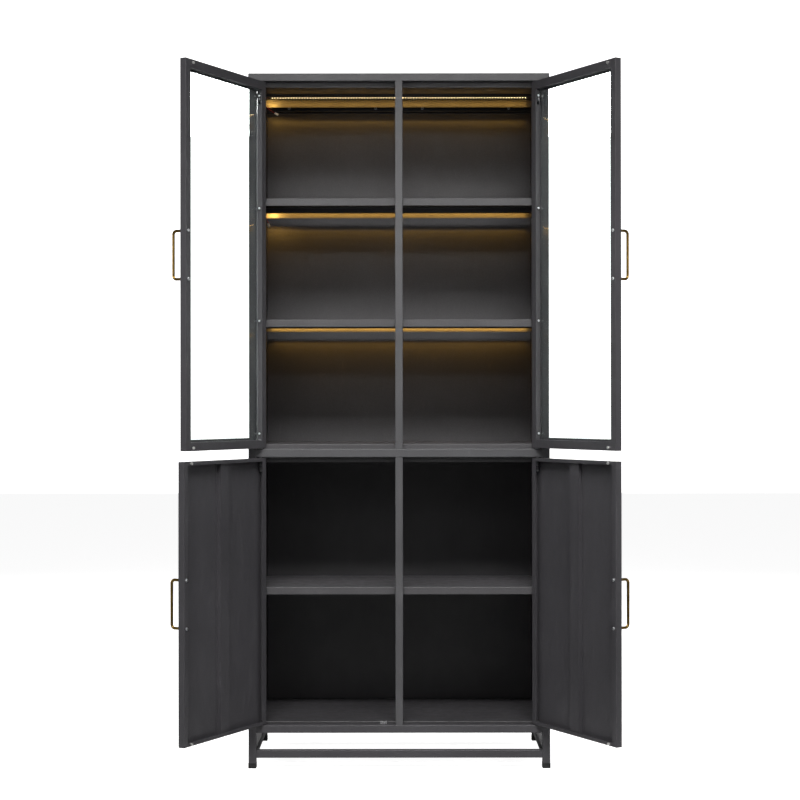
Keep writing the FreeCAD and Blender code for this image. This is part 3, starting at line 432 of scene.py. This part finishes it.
def tube_mesh(path, radius, sides, reference):
    """A round tube along a path of points, closed by a fan at each end.

    Each ring is centre + radius * (cos(a) * side + sin(a) * up), where side is the unit vector
    square to the path and to the reference direction, and up completes the three.
    """
    path = np.asarray(path, float)
    along = np.gradient(path, axis=0)
    along /= np.linalg.norm(along, axis=1, keepdims=True)
    side = np.cross(along, np.asarray(reference, float))
    side /= np.linalg.norm(side, axis=1, keepdims=True)
    up = np.cross(side, along)
    angle = np.linspace(0, 2 * np.pi, sides, endpoint=False)
    rings = path[:, None] + radius * (np.cos(angle)[None, :, None] * side[:, None]
                                      + np.sin(angle)[None, :, None] * up[:, None])
    count = len(path)
    points = np.concatenate([rings.reshape(-1, 3), path[[0, -1]]])
    i = np.arange(count - 1)[:, None] * sides
    j = np.arange(sides)[None, :]
    after = (j + 1) % sides
    walls = np.stack([i + j, i + after, i + sides + after, i + sides + j], -1).reshape(-1, 4)
    first = np.arange(sides)
    second = (first + 1) % sides
    start = np.stack([np.full(sides, count * sides), second, first], -1)
    last = (count - 1) * sides
    finish = np.stack([np.full(sides, count * sides + 1), last + first, last + second], -1)
    return points, walls.tolist() + start.tolist() + finish.tolist()


def join_meshes(parts):
    """Join several (points, faces) pairs into one, shifting the face numbers."""
    points = []
    faces = []
    shift = 0
    for some_points, some_faces in parts:
        points.append(np.asarray(some_points))
        faces += [[index + shift for index in face] for face in some_faces]
        shift += len(some_points)
    return np.concatenate(points), faces


def smooth(piece):
    """Shade a piece smooth, for round sections."""
    piece.data.shade_smooth()
    return piece


# ---- Light strips and leads ----------------------------------------------------------------


CHIP_PITCH = 7.6 * MM
CHIP_SIZE = (1.5 * MM, 3.2 * MM)
CHIP_HEIGHT = 1.0 * MM
CHIP_MARGIN = 6 * MM
CHIP_TAPER = 0.8


def chip_row(name, y, z):
    """One row of small chips under a strip: each a shallow frustum, face down.

    Chip k of n is centred (k - (n - 1) / 2) * CHIP_PITCH from the strip's middle; its foot is
    CHIP_SIZE across and its face is CHIP_TAPER of that, CHIP_HEIGHT lower.
    """
    low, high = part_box("led_strip_top")
    count = int((high[0] - low[0] - CHIP_MARGIN) / CHIP_PITCH)
    centre = (np.arange(count) - (count - 1) / 2) * CHIP_PITCH + (low[0] + high[0]) / 2
    square = np.array([(-0.5, -0.5), (0.5, -0.5), (0.5, 0.5), (-0.5, 0.5)]) * CHIP_SIZE
    foot = np.column_stack([square, np.zeros(4)])
    face = np.column_stack([square * CHIP_TAPER, np.full(4, -CHIP_HEIGHT)])
    chip = np.concatenate([foot, face])
    places = np.column_stack([centre, np.full(count, y), np.full(count, z)])
    points = (places[:, None] + chip[None]).reshape(-1, 3)
    sides = np.array([(0, 1, 5, 4), (1, 2, 6, 5), (2, 3, 7, 6), (3, 0, 4, 7), (4, 5, 6, 7), (3, 2, 1, 0)])
    faces = (np.arange(count)[:, None, None] * 8 + sides[None]).reshape(-1, 4)
    return new_piece(name, points, faces[:, ::-1], GLOW, "cabinet")


def make_chips():
    """The chips of all three strips."""
    names = ("light_chips_top", "light_chips_shelf_1", "light_chips_shelf_2")
    for name, strip in zip(names, strip_rows()):
        chip_row(name, strip.y, strip.z)


LEAD_DROP = 1.1 * MM
CORE_RADIUS = 0.45 * MM


def lead_route(node_box, strip_top, steps):
    """The control points of a lead: steps in millimetres from its strip's left end, in the
    middle of the strip's width and just below its top."""
    low, high = node_box
    start = np.array([low[0], (low[1] + high[1]) / 2, strip_top - LEAD_DROP])
    return start + np.array(steps) * MM


def make_lead(name, route, node):
    """A flat two-core lead: two thin round cores side by side along one smooth line."""
    curve = bpy.data.curves.new(name + "_line", "CURVE")
    curve.dimensions = "3D"
    spline = curve.splines.new("NURBS")
    spline.points.add(len(route) - 1)
    spline.points.foreach_set("co", np.column_stack([route, np.ones(len(route))]).ravel())
    spline.order_u = 3
    spline.use_endpoint_u = True
    spline.resolution_u = 8
    line = bpy.data.objects.new(name + "_line", curve)
    traced = bpy.data.meshes.new_from_object(line)
    path = np.empty(len(traced.vertices) * 3)
    traced.vertices.foreach_get("co", path)
    path = path.reshape(-1, 3)
    bpy.data.meshes.remove(traced)
    bpy.data.objects.remove(line)
    along = np.gradient(path, axis=0)
    along /= np.linalg.norm(along, axis=1, keepdims=True)
    across = np.cross(along, (0.0, 1.0, 0.0))
    across /= np.linalg.norm(across, axis=1, keepdims=True)
    flat = np.cross(across, along)
    parts = [tube_mesh(path + flat * offset, CORE_RADIUS, 10, (0.0, 1.0, 0.0))
             for offset in (-CORE_RADIUS, CORE_RADIUS)]
    points, faces = join_meshes(parts)
    lead = smooth(new_piece(name, points, faces, [PVC_RED, PVC_WHITE], "cabinet"))
    index = np.zeros(len(faces), int)
    index[len(faces) // 2:] = 1
    lead.data.polygons.foreach_set("material_index", index)
    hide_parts(node)


def make_leads():
    """The leads at the left ends of the top strip and the first shelf's strip."""
    top_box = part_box("led_strip_top")
    top_steps = [(0, 0, 0), (-7, 0, 0), (-12, 0.5, -5.5), (-12.5, 2, -14), (-8, 4, -25), (3, 6, -34),
                 (15, 8, -41)]
    shelf_steps = [(0, 0, 0), (-7, 0, 0), (-11.8, -0.5, -5.5), (-12.4, -1.5, -14), (-10.5, -2.5, -25),
                   (-7.5, -3, -35.5)]
    make_lead("lead_top", lead_route(top_box, top_box[1][2], top_steps), "led_lead_top")
    shelf_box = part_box("led_strips_shelves")
    make_lead("lead_shelf", lead_route(shelf_box, shelf_box[1][2], shelf_steps), "led_lead_shelf")


make_leads()
make_chips()


# ---- Springs and painted shadow in screw recesses ------------------------------------------


# A door's outer face stands this far in front of its pivot.
PIVOT_SETBACK = 6.5 * MM
# The spring's top below the pin node's top, and the spring itself.
SPRING_DROP = 10.8 * MM
SPRING_LENGTH = 20.5 * MM
SPRING_TURNS = 8
SPRING_RADIUS = 3.9 * MM
SPRING_WIRE = 0.45 * MM
SPRING_END = 0.6 * MM
# The handle screws: distance off the pivot, depth of their heads' faces behind the door's outer
# face, and half their pitch. The rail screws: their x, and how far their heads stand proud.
SCREW_OFF_PIVOT = 346 * MM
SCREW_DEPTH = 20.24 * MM
HALF_SCREW_PITCH = 60 * MM
RAIL_SCREW_X = (-315, -67, 67, 315)
RAIL_HEAD = 2.24 * MM
# The painted-shadow cross in each screw head: half its span, its bar width and its depth.
RECESS_HALF = 1.9 * MM
RECESS_WIDTH = 0.8 * MM
RECESS_DEPTH = 0.4 * MM


def hinge_of(door):
    """A door's pivot point, its side (-1 left, 1 right) and its open angle in radians."""
    for joint in frame["joints"]:
        if joint["child"] == door:
            pivot = joint["pos_m"]
            side = -1 if pivot[0] < 0 else 1
            return pivot, side, math.radians(max(joint["range_deg"]))


def door_place(door, u, d, z):
    """Where a door's point stands in the open pose, from its distance u off the pivot and its
    depth d behind the outer face: the closed point turned about the pivot by the open angle."""
    pivot, side, angle = hinge_of(door)
    closed = np.array([-side * u, d - PIVOT_SETBACK])
    turn = side * angle
    x = closed[0] * math.cos(turn) - closed[1] * math.sin(turn)
    y = closed[0] * math.sin(turn) + closed[1] * math.cos(turn)
    return np.array([pivot[0] + x, pivot[1] + y, z])


def door_direction(door, u, d):
    """A unit direction of a door in the open pose, from its parts along u and d."""
    tip = door_place(door, u, d, 0) - door_place(door, 0, 0, 0)
    return tip / np.linalg.norm(tip)


def make_pin_spring(door, node):
    """The coil round a lower door's sprung pin, between its guide and the door's top return.

    The wire's centre is pivot + SPRING_RADIUS * (cos(a), sin(a)), z rising evenly with angle a.
    """
    pivot, _, _ = hinge_of(door)
    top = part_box(node)[1][2] - SPRING_DROP
    foot = top - SPRING_LENGTH
    angle = np.linspace(0, 2 * np.pi * SPRING_TURNS, SPRING_TURNS * 20)
    height = np.linspace(foot + SPRING_END, top - SPRING_END, len(angle))
    path = np.column_stack([pivot[0] + SPRING_RADIUS * np.cos(angle),
                            pivot[1] + SPRING_RADIUS * np.sin(angle), height])
    points, faces = tube_mesh(path, SPRING_WIRE, 8, (0, 0, 1))
    smooth(new_piece(door + "_pin_spring", points, faces, STEEL, door))


def cross_recess(centre, facing):
    """A plus-shaped inlay on a screw head, painted shadow in its cross recess: twelve corners in the plane square
    to facing.
    """
    facing = np.asarray(facing, float)
    side = np.cross(facing, (0, 0, 1))
    side /= np.linalg.norm(side)
    up = np.cross(side, facing)
    w = RECESS_WIDTH / 2
    half = RECESS_HALF
    outline = np.array([(-w, -half), (w, -half), (w, -w), (half, -w), (half, w), (w, w),
                        (w, half), (-w, half), (-w, w), (-half, w), (-half, -w), (-w, -w)])
    flat = centre + outline[:, :1] * side + outline[:, 1:] * up
    points = np.concatenate([flat, flat - facing * RECESS_DEPTH])
    ring = [[i, (i + 1) % 12, 12 + (i + 1) % 12, 12 + i] for i in range(12)]
    face = [[0, 1, 2, 11], [2, 3, 4, 5], [5, 6, 7, 8], [8, 9, 10, 11], [2, 5, 8, 11]]
    back = [[12 + i for i in reversed(quad)] for quad in face]
    return points, [quad[::-1] for quad in ring] + face + back


def make_door_recesses(door, node):
    """Painted shadow in the cross recesses of the two handle screws, on a door's inner face."""
    low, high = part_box(node.replace("_screws", "_handle"))
    middle = (low[2] + high[2]) / 2
    facing = door_direction(door, 0, 1)
    parts = []
    for z in (middle - HALF_SCREW_PITCH, middle + HALF_SCREW_PITCH):
        centre = door_place(door, SCREW_OFF_PIVOT, SCREW_DEPTH, z)
        parts.append(cross_recess(centre, facing))
    points, faces = join_meshes(parts)
    new_piece(door + "_screw_recesses", points, faces, PAINTED_CROSS_SHADOW, door)


def make_rail_recesses():
    """Painted shadow in the cross recesses of the four screws of the rear rail."""
    low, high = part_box("rear_top_rail")
    parts = []
    for x in RAIL_SCREW_X:
        centre = np.array([x * MM, low[1] - RAIL_HEAD, (low[2] + high[2]) / 2])
        parts.append(cross_recess(centre, (0, -1, 0)))
    points, faces = join_meshes(parts)
    new_piece("rail_screw_recesses", points, faces, PAINTED_CROSS_SHADOW, "cabinet")


for level in ("upper", "lower"):
    for side_name in ("left", "right"):
        door_name = level + "_door_" + side_name
        make_door_recesses(door_name, door_name + "_screws")
        if level == "lower":
            make_pin_spring(door_name, door_name + "_spring_pin")
make_rail_recesses()
